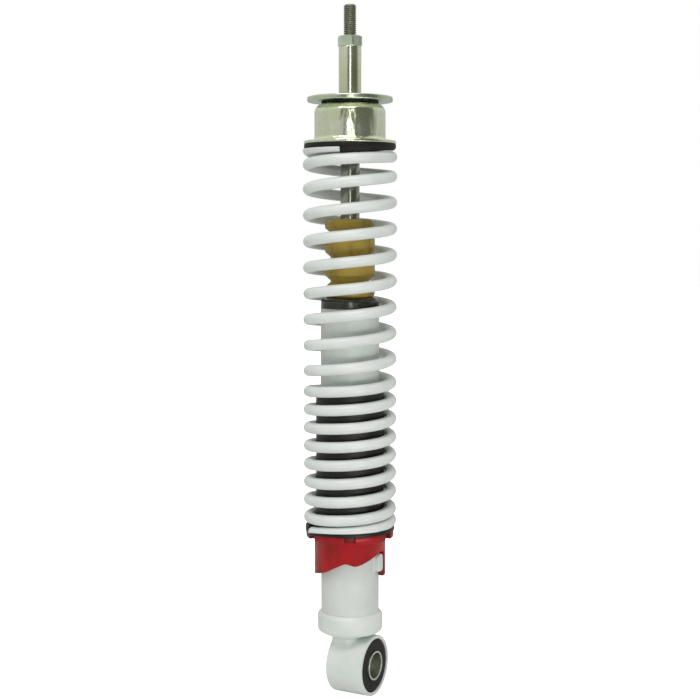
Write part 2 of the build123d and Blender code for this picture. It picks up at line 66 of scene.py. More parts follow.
def radius_of(name):
    """Outer radius of a round CAD node, in millimetres."""
    low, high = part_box(name)
    return (high.y - low.y) / 2 / mm


def rounded(corners, steps=5):
    """A closed outline from (across, up, radius) corners, each radius turned into an arc."""
    outline = []
    for i, (x, y, radius) in enumerate(corners):
        if not radius:
            outline.append((x, y))
            continue
        here = Vector((x, y))
        back = (Vector(corners[i - 1][:2]) - here).normalized()
        ahead = (Vector(corners[(i + 1) % len(corners)][:2]) - here).normalized()
        half = back.angle(ahead) / 2
        centre = here + (back + ahead).normalized() * radius / sin(half)
        start = here + back * radius / tan(half) - centre
        end = here + ahead * radius / tan(half) - centre
        first = atan2(start.y, start.x)
        sweep = (atan2(end.y, end.x) - first + pi) % (2 * pi) - pi
        for step in range(steps + 1):
            angle = first + sweep * step / steps
            outline.append((centre.x + radius * cos(angle), centre.y + radius * sin(angle)))
    return outline


def solid(name, points, faces, body, sharp=35):
    """A finished mesh from points in millimetres, smooth except over sharp edges."""
    mesh = bpy.data.meshes.new(name)
    mesh.from_pydata([Vector(p) * mm for p in points], [], faces)
    mesh.validate()
    for polygon in mesh.polygons:
        polygon.use_smooth = True
    mesh.set_sharp_from_angle(angle=radians(sharp))
    piece = bpy.data.objects.new(name, mesh)
    bpy.context.scene.collection.objects.link(piece)
    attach(piece, body)
    return piece


def strips(columns, rows, around=True, closed=True):
    """Quads between columns of points: around joins last to first, closed does so in a column."""
    faces = []
    for c in range(columns if around else columns - 1):
        d = (c + 1) % columns
        for r in range(rows if closed else rows - 1):
            s = (r + 1) % rows
            faces.append((c * rows + r, d * rows + r, d * rows + s, c * rows + s))
    return faces


def lathe(name, outline, body, columns=128, along="z"):
    """A closed anticlockwise outline of (radius, height) turned right round its axis."""
    points = []
    for c in range(columns):
        angle = 2 * pi * c / columns
        for r, h in outline:
            flat = (r * cos(angle), r * sin(angle))
            points.append((*flat, h) if along == "z" else (h, *flat))
    return solid(name, points, strips(columns, len(outline)), body)


eye_low, eye_high = (corner.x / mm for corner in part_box("eye_ring"))
eye_r = radius_of("eye_ring")
eye_bore = radius_of("eye_bush_rubber")
eye_ring = lathe("eye_ring_tube", rounded([
    (eye_bore, eye_low, 0.3),
    (eye_r, eye_low, 0.9),
    (eye_r, eye_high, 0.5),
    (eye_bore, eye_high, 0.2),
]), "damper_body", along="x")
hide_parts("eye_ring")


def node(tree, kind, **settings):
    """A shader node with its settings."""
    made = tree.nodes.new(kind)
    for key, value in settings.items():
        setattr(made, key, value)
    return made


def fill(tree, socket, value):
    """Sets an input to a number or a colour, or links another node's output to it."""
    if isinstance(value, (int, float)):
        socket.default_value = value
    elif isinstance(value, tuple):
        socket.default_value = (*value, 1.0) if len(value) == 3 and socket.type == "RGBA" else value
    else:
        tree.links.new(value, socket)


def calc(tree, operation, a, b=0.0, clamp=False):
    """A math node between two sockets or numbers."""
    made = node(tree, "ShaderNodeMath", operation=operation, use_clamp=clamp)
    fill(tree, made.inputs[0], a)
    fill(tree, made.inputs[1], b)
    return made.outputs[0]


def noise(tree, place, scale, detail=3.0, rough=0.55):
    """Grey noise over a place."""
    made = node(tree, "ShaderNodeTexNoise")
    fill(tree, made.inputs["Vector"], place)
    fill(tree, made.inputs["Scale"], scale)
    made.inputs["Detail"].default_value = detail
    made.inputs["Roughness"].default_value = rough
    return made.outputs["Fac"]


def stretched(tree, place, x, y, z):
    """A place scaled by its own amount along each axis, which draws noise out into streaks."""
    made = node(tree, "ShaderNodeMapping")
    fill(tree, made.inputs["Vector"], place)
    made.inputs["Scale"].default_value = (x, y, z)
    return made.outputs["Vector"]


def remap(tree, value, low, high, out_low=0.0, out_high=1.0):
    """A value taken smoothly from one range to another and held inside it."""
    made = node(tree, "ShaderNodeMapRange", interpolation_type="SMOOTHSTEP")
    fill(tree, made.inputs["Value"], value)
    fill(tree, made.inputs["From Min"], low)
    fill(tree, made.inputs["From Max"], high)
    fill(tree, made.inputs["To Min"], out_low)
    fill(tree, made.inputs["To Max"], out_high)
    return made.outputs["Result"]


def mix(tree, factor, first, second, blend="MIX"):
    """Two colours mixed by a factor; each may be an output or a plain colour."""
    made = node(tree, "ShaderNodeMix", data_type="RGBA", blend_type=blend)
    fill(tree, made.inputs["Factor"], factor)
    fill(tree, made.inputs[6], first)
    fill(tree, made.inputs[7], second)
    return made.outputs[2]


def new_group(name, inputs, outputs):
    """An empty node group with its named sockets, and its two ends."""
    group = bpy.data.node_groups.new(name, "ShaderNodeTree")
    for label, kind, value in inputs:
        socket = group.interface.new_socket(label, in_out="INPUT", socket_type="NodeSocket" + kind)
        if value is not None:
            socket.default_value = value
    for label, kind in outputs:
        group.interface.new_socket(label, in_out="OUTPUT", socket_type="NodeSocket" + kind)
    return group, node(group, "NodeGroupInput"), node(group, "NodeGroupOutput")


# Sprayed coat: drifts of tone, dust caught in patches, and orange peel as a height.
coat, ends, out = new_group("sprayed coat", [
    ("Place", "Vector", None),
    ("Colour", "Color", (0.8, 0.8, 0.8, 1)),
    ("Shade", "Color", (0.6, 0.6, 0.6, 1)),
    ("Peel size", "Float", 900.0),
    ("Dust", "Float", 0.15),
], [("Colour", "Color"), ("Height", "Float"), ("Drift", "Float")])
place = ends.outputs["Place"]
drift = remap(coat, noise(coat, place, 55.0), 0.35, 0.7)
spots = remap(coat, noise(coat, place, 420.0, 4.0, 0.7), 0.58, 0.74)
dusty = calc(coat, "MULTIPLY", calc(coat, "MULTIPLY", drift, spots), ends.outputs["Dust"])
toned = mix(coat, drift, ends.outputs["Colour"], ends.outputs["Shade"])
fill(coat, out.inputs["Colour"], mix(coat, dusty, toned, (0.30, 0.27, 0.22)))
fill(coat, out.inputs["Height"], noise(coat, place, ends.outputs["Peel size"], 2.0))
fill(coat, out.inputs["Drift"], calc(coat, "ADD", calc(coat, "MULTIPLY", drift, 0.08),
                                     calc(coat, "MULTIPLY", spots, 0.06)))

# Rubbed edges: a broken mask where the surface turns over sharply.
rubbed, ends, out = new_group("rubbed edges", [
    ("Place", "Vector", None),
    ("Amount", "Float", 0.5),
], [("Mask", "Float")])
turn = node(rubbed, "ShaderNodeNewGeometry")
broken = noise(rubbed, ends.outputs["Place"], 700.0, 5.0, 0.7)
raised = calc(rubbed, "ADD", turn.outputs["Pointiness"], calc(rubbed, "MULTIPLY", broken, 0.08))
edge = remap(rubbed, raised, 0.575, 0.64)
fill(rubbed, out.inputs["Mask"], calc(rubbed, "MULTIPLY", edge, ends.outputs["Amount"], clamp=True))


def use_group(tree, group, **values):
    """A node group placed in a material, its inputs given as values or outputs."""
    made = node(tree, "ShaderNodeGroup", node_tree=group)
    for key, value in values.items():
        fill(tree, made.inputs[key.replace("_", " ")], value)
    return made


def new_material(name, **constants):
    """A material whose constant values are set on its Principled shader itself."""
    made = bpy.data.materials.new(name)
    made.use_nodes = True
    shader = made.node_tree.nodes["Principled BSDF"]
    for key, value in constants.items():
        shader.inputs[key.replace("_", " ")].default_value = value
    place = node(made.node_tree, "ShaderNodeTexCoord").outputs["Object"]
    return made, made.node_tree, shader, place


def bumped(tree, shader, height, distance):
    """A height put through a bump into the shader's normal; distance is in metres."""
    bump = node(tree, "ShaderNodeBump")
    bump.inputs["Distance"].default_value = distance
    bump.inputs["Strength"].default_value = 1.0
    fill(tree, bump.inputs["Height"], height)
    fill(tree, shader.inputs["Normal"], bump.outputs["Normal"])


def sprayed(name, colour, shade, roughness, peel_size, peel_depth, dust, worn, bare, gloss):
    """Paint or powder coat over steel, with rubbed edges."""
    made, tree, shader, place = new_material(name, Coat_Weight=gloss, Coat_Roughness=0.1)
    skin = use_group(tree, coat, Place=place, Colour=colour, Shade=shade,
                     Peel_size=peel_size, Dust=dust)
    wear = use_group(tree, rubbed, Place=place, Amount=worn)
    fill(tree, shader.inputs["Base Color"],
         mix(tree, wear.outputs["Mask"], skin.outputs["Colour"], bare))
    fill(tree, shader.inputs["Roughness"], calc(tree, "ADD", skin.outputs["Drift"], roughness))
    bumped(tree, shader, skin.outputs["Height"], peel_depth)
    return made


def paint(material, *pieces):
    """Gives pieces their material."""
    for piece in pieces:
        piece.data.materials.clear()
        piece.data.materials.append(material)


enamel = sprayed("grey-white enamel", (0.70, 0.745, 0.705), (0.64, 0.675, 0.65), 0.38,
                 650.0, 0.00005, 0.25, 0.3, (0.50, 0.52, 0.50), 0.25)
paint(enamel, eye_ring)

# ---------------------------------------------------------------- end cap
# A forged cap that closes the tube, with a bevelled rim, a straight side and a tapered
# underside that straddles the eye; painted with the eye and the tube.

cap_foot, cap_top = 17.8, heights("end_cap")[1]
cap_r = radius_of("end_cap")
cap_bevel = 2.4
cap_groove = 0.12           # left open round the tube under the paint
cap_shoulder = 22.3         # the taper starts here
cap_foot_r = 12.4
cap_air = 1.2               # between the underside and the eye
tube_r = radius_of("outer_tube")
cap_side = rounded([
    (cap_foot_r, cap_foot, 0),
    (cap_r, cap_shoulder, 2.0),
    (cap_r, cap_top - cap_bevel, 1.4),
    (cap_r - cap_bevel + 0.3, cap_top, 1.2),
    (tube_r + cap_groove, cap_top, 0.2),
    (tube_r + cap_groove, cap_top - 2, 0),
    (tube_r - 2, cap_top - 2, 0),
])
spoke_steps = 20
points = []
columns = 192
for c in range(columns):
    angle = 2 * pi * c / columns
    for step in range(spoke_steps):
        r = cap_foot_r * step / spoke_steps
        points.append([r * cos(angle), r * sin(angle), cap_foot])
    points += [[r * cos(angle), r * sin(angle), h] for r, h in cap_side]
for point in points:
    over_eye = (eye_r + cap_air) ** 2 - point[1] ** 2
    if point[2] < cap_top - 4 and over_eye > 0:
        point[2] = max(point[2], sqrt(over_eye))
end_cap = solid("end_cap_forging", points, strips(columns, spoke_steps + len(cap_side), closed=False),
                "damper_body")
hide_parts("end_cap")
paint(enamel, end_cap)

# ---------------------------------------------------------------- neck and its weld
# The cap's short neck, a block with rounded corners that stands on the eye, blended into it
# by a hand-laid fillet weld that was painted over.

neck_half_x, neck_half_y = 8.4, 13.2
neck_corner = 6.0
weld_spread = 2.2
weld_height = 1.7
neck_head = cap_foot + 4.5


def block_reach(angle, half_x, half_y, corner):
    """How far a rounded rectangle reaches from its middle in one direction."""
    across, along = abs(cos(angle)), abs(sin(angle))
    reach = min(half_x / max(across, 1e-6), half_y / max(along, 1e-6))
    inner_x, inner_y = half_x - corner, half_y - corner
    if reach * across > inner_x and reach * along > inner_y:
        b = across * inner_x + along * inner_y
        reach = b + sqrt(max(0.0, b * b - inner_x ** 2 - inner_y ** 2 + corner ** 2))
    return reach


points = []
columns = 144
levels = 16
for c in range(columns):
    angle = 2 * pi * c / columns
    lumps = 0.16 * sin(23 * angle) + 0.12 * sin(37 * angle + 1.3)
    for level in range(levels):
        share = level / (levels - 1)
        if share < 0.6:
            t = share / 0.6
            out = (1 - sin(t * pi / 2)) * (weld_spread + lumps)
            rise = (1 - cos(t * pi / 2)) * weld_height
        else:
            out = 0.0
            rise = weld_height + (share - 0.6) / 0.4 * 8.0
        reach = block_reach(angle, neck_half_x, neck_half_y, neck_corner) + out
        x, y = reach * cos(angle), reach * sin(angle)
        foot = sqrt(max(0.0, (eye_r - 0.15) ** 2 - min(abs(y), eye_r - 0.2) ** 2))
        points.append((max(x, eye_low + 0.4), y, min(foot + rise, neck_head) if level else foot))
neck = solid("neck_and_weld", points, strips(columns, levels, closed=False), "damper_body", 60)
paint(enamel, neck)

# ---------------------------------------------------------------- damper tube and lugs
# Seamless steel tube, painted in place with the cap; two lugs welded on opposite sides of it
# carry the collar's cams.

tube_low, tube_top = heights("outer_tube")
tube = lathe("damper_tube", rounded([
    (tube_r - 1.6, tube_low, 0),
    (tube_r, tube_low, 0),
    (tube_r, tube_top, 0.3),
    (tube_r - 1.6, tube_top, 0),
]), "damper_body")
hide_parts("outer_tube")
lug_low, lug_high = heights("cam_lugs")
lug_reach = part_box("cam_lugs")[1].x / mm
lug_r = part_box("cam_lugs")[1].y / mm
lug_foot = 1.8              # radius of the lower corners
lug_half = (lug_high - lug_low) / 2
lugs = []
for side, name in ((1, "cam_lug_long_side"), (-1, "cam_lug_short_side")):
    outline = rounded([
        (-lug_r, lug_low, lug_foot),
        (lug_r, lug_low, lug_foot),
        (lug_r, lug_high, lug_r - 0.01),
        (-lug_r, lug_high, lug_r - 0.01),
    ], 8)
    middle = (lug_low + lug_high) / 2
    points = []
    profile = (
        (tube_r - 1.2, -0.5), (tube_r + 0.3, -0.5), (tube_r + 0.8, 0.0),
        (lug_reach - 0.5, 0.0), (lug_reach - 0.15, 0.15), (lug_reach, 0.5),
    )
    for out, shrink in profile:
        for y, z in outline:
            up = middle + (z - middle) * (1 - shrink / lug_half)
            points.append((side * out, y * (1 - shrink / lug_r), up))
    count = len(outline)
    layers = len(profile)
    faces = strips(layers, count, around=False)
    faces.append(tuple(reversed(range((layers - 1) * count, layers * count))))
    if side > 0:
        faces = [face[::-1] for face in faces]
    lug = solid(name, points, faces, "damper_body")
    lugs.append(lug)
    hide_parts("cam_lugs")
paint(enamel, tube, *lugs)

# ---------------------------------------------------------------- rubber bush and steel sleeve
# A moulded rubber bush pressed into the eye, bonded to a steel sleeve that stands a little
# proud of it and is clamped between the bracket's ears.

bush_low, bush_high = (corner.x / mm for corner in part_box("eye_bush_rubber"))
sleeve_low, sleeve_high = (corner.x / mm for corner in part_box("eye_bush_sleeve"))
sleeve_r = radius_of("eye_bush_sleeve")
sleeve_bore = 8.15
bush_bore = sleeve_r + 0.02   # so that the two turn past each other without touching
bush = lathe("eye_bush_moulding", rounded([
    (bush_bore, bush_low + 0.5, 0),
    (sleeve_r + 0.8, bush_low, 0.3),
    (eye_bore - 0.9, bush_low, 0.6),
    (eye_bore, bush_low + 0.7, 0.2),
    (eye_bore, bush_high - 0.7, 0.2),
    (eye_bore - 0.9, bush_high, 0.6),
    (sleeve_r + 0.8, bush_high, 0.3),
    (bush_bore, bush_high - 0.5, 0),
]), "damper_body", along="x")
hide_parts("eye_bush_rubber")
sleeve = lathe("eye_bush_steel_sleeve", rounded([
    (sleeve_bore, sleeve_low, 0.3),
    (sleeve_r, sleeve_low, 0.25),
    (sleeve_r, sleeve_high, 0.25),
    (sleeve_bore, sleeve_high, 0.3),
]), "bush_sleeve", along="x")
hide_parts("eye_bush_sleeve")

# Moulded surface: fine grain as a height, with chalky patches.
moulded, ends, out = new_group("moulded surface", [
    ("Place", "Vector", None),
    ("Colour", "Color", (0.02, 0.02, 0.02, 1)),
    ("Chalk", "Color", (0.10, 0.095, 0.085, 1)),
    ("Amount", "Float", 0.4),
], [("Colour", "Color"), ("Height", "Float"), ("Drift", "Float")])
place = ends.outputs["Place"]
patches = remap(moulded, noise(moulded, place, 160.0, 5.0, 0.65), 0.48, 0.72)
grain = noise(moulded, place, 1800.0, 3.0)
chalky = calc(moulded, "MULTIPLY", patches, ends.outputs["Amount"])
fill(moulded, out.inputs["Colour"],
     mix(moulded, chalky, ends.outputs["Colour"], ends.outputs["Chalk"]))
fill(moulded, out.inputs["Height"],
     calc(moulded, "ADD", grain, calc(moulded, "MULTIPLY", patches, 0.5)))
fill(moulded, out.inputs["Drift"], calc(moulded, "MULTIPLY", patches, 0.12))


def moulding(name, colour, chalk, amount, roughness, depth):
    """Rubber or plastic as it leaves the mould."""
    made, tree, shader, place = new_material(name, Specular_IOR_Level=0.22)
    skin = use_group(tree, moulded, Place=place, Colour=colour, Chalk=chalk, Amount=amount)
    fill(tree, shader.inputs["Base Color"], skin.outputs["Colour"])
    fill(tree, shader.inputs["Roughness"], calc(tree, "ADD", skin.outputs["Drift"], roughness))
    bumped(tree, shader, skin.outputs["Height"], depth)
    return made


rubber = moulding("black rubber", (0.010, 0.009, 0.007), (0.028, 0.025, 0.020), 0.45, 0.55, 0.00006)
paint(rubber, bush)

# Turned metal: fine rings round the part's axis, cloudy stains and tiny pits.
turned, ends, out = new_group("turned metal", [
    ("Place", "Vector", None),
    ("Colour", "Color", (0.6, 0.6, 0.58, 1)),
    ("Stain", "Color", (0.4, 0.38, 0.3, 1)),
    ("Rings", "Float", 1.0),
    ("Staining", "Float", 0.5),
], [("Colour", "Color"), ("Height", "Float"), ("Drift", "Float")])
place = ends.outputs["Place"]
rings = calc(turned, "MULTIPLY", noise(turned, stretched(turned, place, 30, 30, 4200), 1.0, 2.0),
             ends.outputs["Rings"])
clouds = remap(turned, noise(turned, place, 130.0, 4.0, 0.6), 0.42, 0.72)
pits = remap(turned, noise(turned, place, 1500.0, 2.0), 0.68, 0.78)
stained = calc(turned, "MULTIPLY", clouds, ends.outputs["Staining"])
fill(turned, out.inputs["Colour"],
     mix(turned, stained, ends.outputs["Colour"], ends.outputs["Stain"]))
fill(turned, out.inputs["Height"],
     calc(turned, "SUBTRACT", rings, calc(turned, "MULTIPLY", pits, 0.6)))
fill(turned, out.inputs["Drift"], calc(turned, "ADD", calc(turned, "MULTIPLY", clouds, 0.1),
                                       calc(turned, "MULTIPLY", pits, 0.1)))


def metal(name, colour, stain, roughness, rings, staining, depth, across=False):
    """Bare or plated metal; across turns the lathe marks to a part that lies along X."""
    made, tree, shader, place = new_material(name, Metallic=1.0)
    if across:
        turn = node(tree, "ShaderNodeMapping")
        turn.inputs["Rotation"].default_value = (0, pi / 2, 0)
        fill(tree, turn.inputs["Vector"], place)
        place = turn.outputs["Vector"]
    skin = use_group(tree, turned, Place=place, Colour=colour, Stain=stain,
                     Rings=rings, Staining=staining)
    fill(tree, shader.inputs["Base Color"], skin.outputs["Colour"])
    fill(tree, shader.inputs["Roughness"], calc(tree, "ADD", skin.outputs["Drift"], roughness))
    bumped(tree, shader, skin.outputs["Height"], depth)
    return made


cut_steel = metal("cut steel sleeve", (0.60, 0.63, 0.56), (0.34, 0.36, 0.28), 0.28, 1.0, 0.6, 0.00002,
                  across=True)
paint(cut_steel, sleeve)

# ---------------------------------------------------------------- preload collar
# A moulded red collar: flange with six spanner notches over a skirt whose lower rim carries
# two stepped cams, one for each lug. Glossy, with darker swirls in the plastic.

collar_low, collar_top = heights("preload_collar")
flange_r = radius_of("preload_collar")
flange_low = collar_top - 4.4
skirt_r = 22.8
skirt_bore = 19.2
notch_depth, notch_half, notch_turn = 2.6, 3.5, -61.6
detent = 75.1               # height of the first detent
cam_start, cam_end = -10.8, 150.0
cam = (                     # degrees past the first detent, and the edge's drop under it
    (-10.8, 1.6), (-7, 0.2), (0, 0), (6.5, 0.4), (18.5, 2.3), (31.5, 4.4), (44.5, 6.4),
    (54, 7.2), (61, 6.3), (68.5, 5.5), (76, 6.5), (84, 8.0), (96, 10.2), (113.5, 13.2),
    (138.5, 15.6), (150, 16.8),
)


def through(table, x):
    """A smooth curve through (x, y) pairs, flat at its ends."""
    for i in range(len(table) - 1):
        (x0, y0), (x1, y1) = table[i], table[i + 1]
        if x <= x1 or i == len(table) - 2:
            before = table[max(i - 1, 0)]
            after = table[min(i + 2, len(table) - 1)]
            step = x1 - x0
            slope0 = (y1 - before[1]) / (x1 - before[0]) * step if i else 0.0
            slope1 = (after[1] - y0) / (after[0] - x0) * step if i < len(table) - 2 else 0.0
            t = min(max((x - x0) / step, 0.0), 1.0)
            return (y0 * (2 * t ** 3 - 3 * t ** 2 + 1) + slope0 * (t ** 3 - 2 * t ** 2 + t)
                    + y1 * (3 * t ** 2 - 2 * t ** 3) + slope1 * (t ** 3 - t ** 2))


def skirt_edge(angle):
    """Height of the collar's lower rim at a place round the damper, in degrees."""
    past = (-angle + 10.9) % 180 - 10.9
    if not cam_start <= past <= cam_end:
        return collar_low
    spread = [through(cam, past + step) for step in (-3, -1.5, 0, 1.5, 3)]
    return max(collar_low, detent - sum(spread) / len(spread))


def flange_reach(angle):
    """Radius of the flange at a place round the damper, in degrees, less its notches."""
    off = (angle - notch_turn + 30) % 60 - 30
    if abs(flange_r * sin(radians(off))) > notch_half:
        return flange_r
    return flange_r - notch_depth


turns = [i * 0.9 for i in range(400)]
for k in range(2):
    turns += [10.8 + 180 * k - 0.01, 10.8 + 180 * k + 0.01]
notch_angle = atan2(notch_half, sqrt(flange_r ** 2 - notch_half ** 2)) * 180 / pi
for k in range(6):
    for side in (-1, 1):
        wall = (notch_turn + 60 * k + side * notch_angle) % 360
        turns += [wall - 0.01, wall + 0.01]
points = []
for turn_angle in sorted(turns):
    angle = radians(turn_angle)
    edge = skirt_edge(turn_angle)
    reach = flange_reach(turn_angle)
    outline = [
        (skirt_bore, edge + 0.3), (skirt_bore + 0.3, edge), (skirt_r - 0.5, edge),
        (skirt_r - 0.15, edge + 0.15), (skirt_r, edge + 0.5),
        (skirt_r, flange_low - 1.5), (skirt_r + 0.25, flange_low - 0.7),
        (skirt_r + 0.8, flange_low - 0.2),
        (skirt_r + 1.5, flange_low), (reach - 0.5, flange_low), (reach - 0.15, flange_low + 0.15),
        (reach, flange_low + 0.5), (reach, collar_top - 0.5), (reach - 0.15, collar_top - 0.15),
        (reach - 0.5, collar_top), (skirt_bore + 0.4, collar_top), (skirt_bore, collar_top - 0.4),
    ]
    points += [(r * cos(angle), r * sin(angle), h) for r, h in outline]
collar = solid("preload_collar_moulding", points, strips(len(turns), len(outline)), "preload_collar", 40)
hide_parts("preload_collar")
red, tree, shader, place = new_material("glossy red", Specular_IOR_Level=0.25)
swirl = remap(tree, noise(tree, stretched(tree, place, 1, 1, 0.45), 95.0, 5.0, 0.6), 0.42, 0.66)
grime = remap(tree, noise(tree, place, 260.0, 5.0, 0.7), 0.55, 0.72)
wear = use_group(tree, rubbed, Place=place, Amount=0.8)
body_red = mix(tree, swirl, (0.40, 0.004, 0.007), (0.23, 0.007, 0.009))
body_red = mix(tree, calc(tree, "MULTIPLY", grime, 0.35), body_red, (0.09, 0.02, 0.015))
# Painted shade: the flange's spanner notches are darkened towards deep brown where shade falls in them.
off_axis = node(tree, "ShaderNodeVectorMath", operation="LENGTH")
fill(tree, off_axis.inputs[0], stretched(tree, place, 1, 1, 0))
up_part = node(tree, "ShaderNodeSeparateXYZ")
fill(tree, up_part.inputs["Vector"], place)
sunk = remap(tree, off_axis.outputs["Value"], (flange_r - 1.6) * mm, (flange_r - 0.4) * mm, 1.0, 0.0)
in_flange = remap(tree, up_part.outputs["Z"], (flange_low + 0.3) * mm, (flange_low + 0.9) * mm)
notch_painted_shade = calc(tree, "MULTIPLY", sunk, in_flange)
body_red = mix(tree, calc(tree, "MULTIPLY", notch_painted_shade, 0.55), body_red, (0.045, 0.012, 0.010))
fill(tree, shader.inputs["Base Color"], mix(tree, wear.outputs["Mask"], body_red, (0.10, 0.03, 0.025)))
fill(tree, shader.inputs["Roughness"], remap(tree, swirl, 0, 1, 0.30, 0.44))
bumped(tree, shader, noise(tree, place, 380.0, 3.0), 0.00012)
paint(red, collar)

# ---------------------------------------------------------------- spring seat ring
# A black moulded ring between the collar and the spring. Its face ramps down into a pocket
# for the wire's lower end, which butts against a stop, and a lip laps over the flange there.

seat_low, seat_high = heights("lower_seat_ring")
seat_face = 90.6
seat_r = radius_of("lower_seat_ring")
seat_bore = 21.6
stop_face = 91.15
tip_angle = -129.6          # where the wire's lower end lies
pocket = ((0, 87.2), (14, 88.5), (37, 89.8), (68, 90.5), (100, seat_face), (130, seat_face))
stop_span = 22.0
turns = sorted([i * 1.0 for i in range(360)] + [359.8 - stop_span, 358.6 - stop_span, 358.3])
points = []
for past in turns:
    angle = radians(tip_angle + past)
    face = through(pocket, past) if past < 130 else seat_face
    lip = min(seat_low, face - 2.0)
    if past > 359.2 - stop_span:
        face = stop_face
        lip = min(seat_low, 85.6 + (360 - past) / stop_span * 2.2)
    outline = [
        (seat_bore, seat_low + 0.1), (seat_r - 0.02, seat_low + 0.1), (seat_r - 0.02, lip),
        (seat_r + 0.25, lip), (seat_r + 0.45, lip + 0.2), (seat_r + 0.45, face - 0.6),
        (seat_r + 0.25, face - 0.15), (seat_r - 0.2, face), (seat_bore + 0.3, face),
        (seat_bore, face - 0.3),
    ]
    points += [(r * cos(angle), r * sin(angle), h) for r, h in outline]
seat = solid("spring_seat_moulding", points, strips(len(turns), len(outline)), "lower_seat", 40)
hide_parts("lower_seat_ring")
plastic = moulding("black moulded plastic", (0.014, 0.012, 0.011), (0.05, 0.044, 0.038),
                   0.5, 0.36, 0.00005)
paint(plastic, seat)

# ---------------------------------------------------------------- spring guide sleeve
# A thin black tube inside the close coils, moulded with the seat, that keeps the spring
# central; fine mould rings show between the turns.

guide_low, guide_high = heights("spring_guide_sleeve")
guide_r = radius_of("spring_guide_sleeve")
guide_wall = 1.8
guide = lathe("spring_guide_moulding", rounded([
    (guide_r - guide_wall, guide_low, 0),
    (guide_r, guide_low, 0),
    (guide_r, guide_high, 0.8),
    (guide_r - guide_wall, guide_high, 0.4),
]), "lower_seat")
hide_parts("spring_guide_sleeve")
ribbed, tree, shader, place = new_material("ribbed black plastic", Specular_IOR_Level=0.4)
skin = use_group(tree, moulded, Place=place, Colour=(0.014, 0.012, 0.011),
                 Chalk=(0.05, 0.045, 0.04), Amount=0.5)
ribs = node(tree, "ShaderNodeTexWave", wave_type="BANDS", bands_direction="Z")
fill(tree, ribs.inputs["Vector"], place)
ribs.inputs["Scale"].default_value = 160.0
ribs.inputs["Distortion"].default_value = 0.4
fill(tree, shader.inputs["Base Color"], skin.outputs["Colour"])
fill(tree, shader.inputs["Roughness"], calc(tree, "ADD", skin.outputs["Drift"], 0.42))
bumped(tree, shader, calc(tree, "ADD", ribs.outputs["Fac"], skin.outputs["Height"]), 0.0001)
paint(ribbed, guide)

# ---------------------------------------------------------------- head cap
# A pressed steel cap over the seals at the tube's top, blackened, its edge rolled over the
# tube; the rod passes through it.

head_low, head_high = heights("head_cap")
head_r = radius_of("head_cap")
rod_r = 6.0
head = lathe("head_cap_pressing", rounded([
    (rod_r + 0.5, head_high - 2.5, 0),
    (rod_r + 2.5, tube_top, 0),
    (head_r, tube_top, 0.3),
    (head_r, head_high, 3.2),
    (rod_r + 4.2, head_high, 0.4),
    (rod_r + 3.6, head_high - 0.7, 0.3),
    (rod_r + 0.5, head_high - 0.7, 0.3),
], 8), "damper_body")
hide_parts("head_cap")
blackened, tree, shader, place = new_material("blackened steel", Metallic=0.9)
skin = use_group(tree, turned, Place=place, Colour=(0.075, 0.075, 0.062), Stain=(0.15, 0.15, 0.125),
                 Rings=0.6, Staining=0.7)
fill(tree, shader.inputs["Base Color"], skin.outputs["Colour"])
fill(tree, shader.inputs["Roughness"], calc(tree, "ADD", skin.outputs["Drift"], 0.18))
bumped(tree, shader, skin.outputs["Height"], 0.00003)
paint(blackened, head)

# ---------------------------------------------------------------- bump stop
# A cylinder of closed-cell polyurethane foam, ochre, with three rounded grooves so that it
# folds evenly; it sits loose on the head cap round the rod and flattens when the damper bottoms.

bump_low, bump_high = heights("bump_stop")
bump_r = radius_of("bump_stop")
bump_grooves = (10.1, 24.9, 40.0)
groove_half, groove_depth = 3.4, 3.9
bump_bore = 6.5
corners = [(bump_bore, bump_low, 0.4), (bump_r, bump_low, 2.4)]
for middle in bump_grooves:
    corners += [
        (bump_r, bump_low + middle - groove_half, 1.5),
        (bump_r - groove_depth, bump_low + middle, 0.7),
        (bump_r, bump_low + middle + groove_half, 1.5),
    ]
corners += [
    (bump_r, bump_high, 4.0),
    (bump_bore + 1.6, bump_high, 0.5),
    (bump_bore, bump_high - 1.6, 0.5),
]
bump_stop = lathe("bump_stop_foam", rounded(corners, 6), "damper_body", 160)
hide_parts("bump_stop")
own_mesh(bump_stop)
foam, tree, shader, place = new_material("ochre foam", Specular_IOR_Level=0.35, Sheen_Weight=0.15)
cells = node(tree, "ShaderNodeTexVoronoi", feature="F1")
fill(tree, cells.inputs["Vector"], place)
cells.inputs["Scale"].default_value = 1500.0
smears = remap(tree, noise(tree, stretched(tree, place, 1, 1, 0.5), 120.0, 4.0), 0.4, 0.68)
open_cells = remap(tree, noise(tree, place, 900.0, 3.0), 0.6, 0.72)
body_ochre = mix(tree, smears, (0.42, 0.295, 0.045), (0.28, 0.19, 0.03))
fill(tree, shader.inputs["Base Color"],
     mix(tree, calc(tree, "MULTIPLY", open_cells, 0.5), body_ochre, (0.20, 0.12, 0.03)))
fill(tree, shader.inputs["Roughness"], remap(tree, smears, 0, 1, 0.42, 0.6))
skin_height = calc(tree, "ADD", cells.outputs["Distance"], calc(tree, "MULTIPLY", open_cells, -0.6))
bumped(tree, shader, skin_height, 0.00012)
paint(foam, bump_stop)

# ---------------------------------------------------------------- damper rod
# Ground and hard-chromed rod with a shoulder at its upper end; only this much of it shows,
# the rest runs down through the seals to the piston.

rod_low, stud_top = heights("piston_rod")
shoulder = heights("shoulder_washer")[0]
tail_r, tail_top = 4.0, 179.0
rod = lathe("chromed_rod", rounded([
    (0, rod_low, 0),
    (tail_r, rod_low, 0.8),
    (tail_r, tail_top, 0),
    (rod_r, tail_top, 0.3),
    (rod_r, shoulder, 0.5),
    (0, shoulder, 0),
]), "rod_assembly", 96)
chrome = metal("hard chrome", (0.36, 0.37, 0.32), (0.27, 0.27, 0.22), 0.16, 0.5, 0.4, 0.00001)
paint(chrome, rod)

